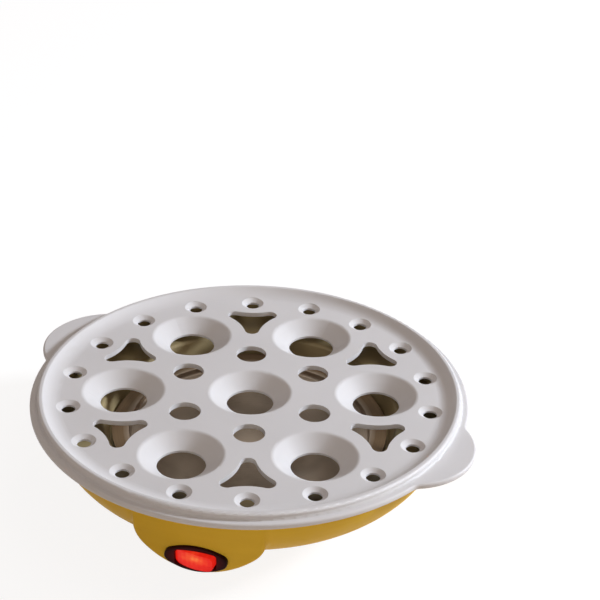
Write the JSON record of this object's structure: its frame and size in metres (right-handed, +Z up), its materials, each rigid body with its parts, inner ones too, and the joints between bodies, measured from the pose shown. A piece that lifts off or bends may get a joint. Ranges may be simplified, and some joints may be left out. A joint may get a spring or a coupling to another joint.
{
  "type": "egg cooker",
  "caption": "Low round electric egg cooker without its lid: a perforated egg tray with lifting ears on a shallow bowl that holds a heating plate, its wiring and a lit rocker switch.",
  "frame": {"origin": "on the table, under the axis of the bowl", "axes": "+Z up along the axis of the bowl, the switch faces -Y, and the cord bush is at +Y"},
  "size_m": [0.1858, 0.1738, 0.0448],
  "materials": {
    "tray_plastic": "gloss white moulded plastic",
    "bowl_plastic": "gloss yellow moulded plastic",
    "funnel_plastic": "satin olive-taupe heat-proof plastic",
    "plate_steel": "spun satin steel",
    "seal_rubber": "pale silicone",
    "black_rubber": "matt",
    "switch_black": "gloss black",
    "rocker_red": "clear red, lit from inside",
    "lamp_glass": "clear glass, glowing orange",
    "switch_brass": "stamped",
    "zinc_steel": "zinc plated",
    "cast_aluminium": "cast",
    "element_sheath": "dull sheath",
    "phenolic_brown": "moulded",
    "sleeve_nylon": "natural nylon",
    "fuse_sleeve": "woven glass sleeve",
    "lead_brown": "insulation",
    "lead_blue": "insulation"
  },
  "bodies": {
    "base": {"clamp_nuts": "zinc_steel", "clamp_ring": "zinc_steel", "clip_screw": "zinc_steel", "cord_bush": "black_rubber", "crimp_cap_live": "sleeve_nylon", "crimp_cap_neutral": "sleeve_nylon", "element_lead": "lead_brown", "element_pin_left": "element_sheath", "element_pin_right": "element_sheath", "foot_1": "black_rubber", "foot_2": "black_rubber", "foot_3": "black_rubber", "foot_4": "black_rubber", "fuse_clip": "zinc_steel", "fuse_lead": "lead_brown", "heat_spreader": "cast_aluminium", "heating_element": "element_sheath", "heating_plate": "plate_steel", "housing_screws": "zinc_steel", "inner_funnel": "funnel_plastic", "lamp_lead": "lead_blue", "live_lead": "lead_brown", "neutral_lead": "lead_blue", "outer_bowl": "bowl_plastic", "plate_gasket": "seal_rubber", "plate_studs": "zinc_steel", "switch_housing": "switch_black", "switch_socket_left": "sleeve_nylon", "switch_socket_middle": "sleeve_nylon", "switch_socket_right": "sleeve_nylon", "switch_tab_left": "switch_brass", "switch_tab_middle": "switch_brass", "switch_tab_right": "switch_brass", "switched_lead": "lead_brown", "thermal_fuse": "fuse_sleeve", "thermostat_body": "phenolic_brown", "thermostat_cap": "cast_aluminium", "thermostat_screws": "zinc_steel", "thermostat_socket_back": "sleeve_nylon", "thermostat_socket_front": "sleeve_nylon", "thermostat_tab_back": "switch_brass", "thermostat_tab_front": "switch_brass"},
    "rocker": {"switch_rocker": "rocker_red", "contact_plunger": "switch_brass", "neon_lamp": "lamp_glass"},
    "contact": {"contact_blade": "switch_brass"},
    "tray": {"egg_tray": "tray_plastic"}
  },
  "joints": [
    {"name": "rocker_tilt", "type": "hinge", "parent": "base", "child": "rocker", "pos_m": [0, -0.0776, 0.0188], "axis": [0, -0.0872, 0.9962], "range_deg": [0, 20]},
    {"name": "contact_rock", "type": "hinge", "parent": "base", "child": "contact", "pos_m": [0, -0.07082, 0.01939], "axis": [0, -0.0872, 0.9962], "range_deg": [-12, 0]},
    {"name": "tray_lift", "type": "slide", "parent": "base", "child": "tray", "axis": [0, 0, 1], "range_m": [0, 0.06]}
  ],
  "couplings": [
    {"joint": "contact_rock", "follows": "rocker_tilt", "ratio": -0.6}
  ]
}
